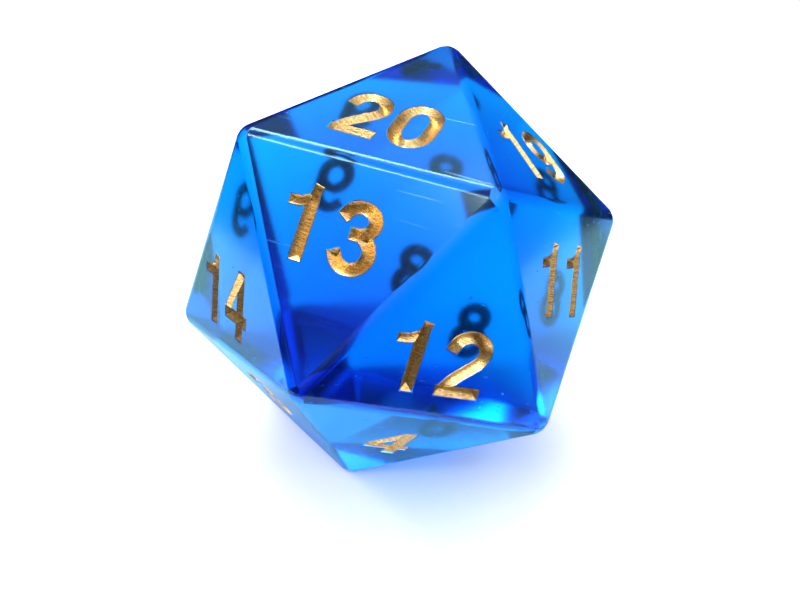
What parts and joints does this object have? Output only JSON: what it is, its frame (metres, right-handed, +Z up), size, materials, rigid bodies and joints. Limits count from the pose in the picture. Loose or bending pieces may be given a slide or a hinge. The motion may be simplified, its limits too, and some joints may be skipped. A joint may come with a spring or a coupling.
{
  "type": "countdown die",
  "caption": "Large translucent blue icosahedral countdown die with rounded edges and engraved, gold-filled numerals.",
  "frame": {"origin": "middle of the rest face, which carries the 1; the die stands on it with the 20 face level on top", "axes": "+Z up through the 20 face, +X to the right of the 20 as it is read, -Y out towards the 13 face"},
  "size_m": [0.0584, 0.0666, 0.055],
  "materials": {
    "blue_acrylic": "polished, translucent",
    "gold_paint": "satin metallic paint"
  },
  "bodies": {
    "root": {"die_body": "blue_acrylic", "inlay_1": "gold_paint", "inlay_2": "gold_paint", "inlay_3": "gold_paint", "inlay_4": "gold_paint", "inlay_5": "gold_paint", "inlay_6": "gold_paint", "inlay_7": "gold_paint", "inlay_8": "gold_paint", "inlay_9": "gold_paint", "inlay_10_tens": "gold_paint", "inlay_10_units": "gold_paint", "inlay_11_tens": "gold_paint", "inlay_11_units": "gold_paint", "inlay_12_tens": "gold_paint", "inlay_12_units": "gold_paint", "inlay_13_tens": "gold_paint", "inlay_13_units": "gold_paint", "inlay_14_tens": "gold_paint", "inlay_14_units": "gold_paint", "inlay_15_tens": "gold_paint", "inlay_15_units": "gold_paint", "inlay_16_tens": "gold_paint", "inlay_16_units": "gold_paint", "inlay_17_tens": "gold_paint", "inlay_17_units": "gold_paint", "inlay_18_tens": "gold_paint", "inlay_18_units": "gold_paint", "inlay_19_tens": "gold_paint", "inlay_19_units": "gold_paint", "inlay_20_tens": "gold_paint", "inlay_20_units": "gold_paint"}
  },
  "joints": []
}
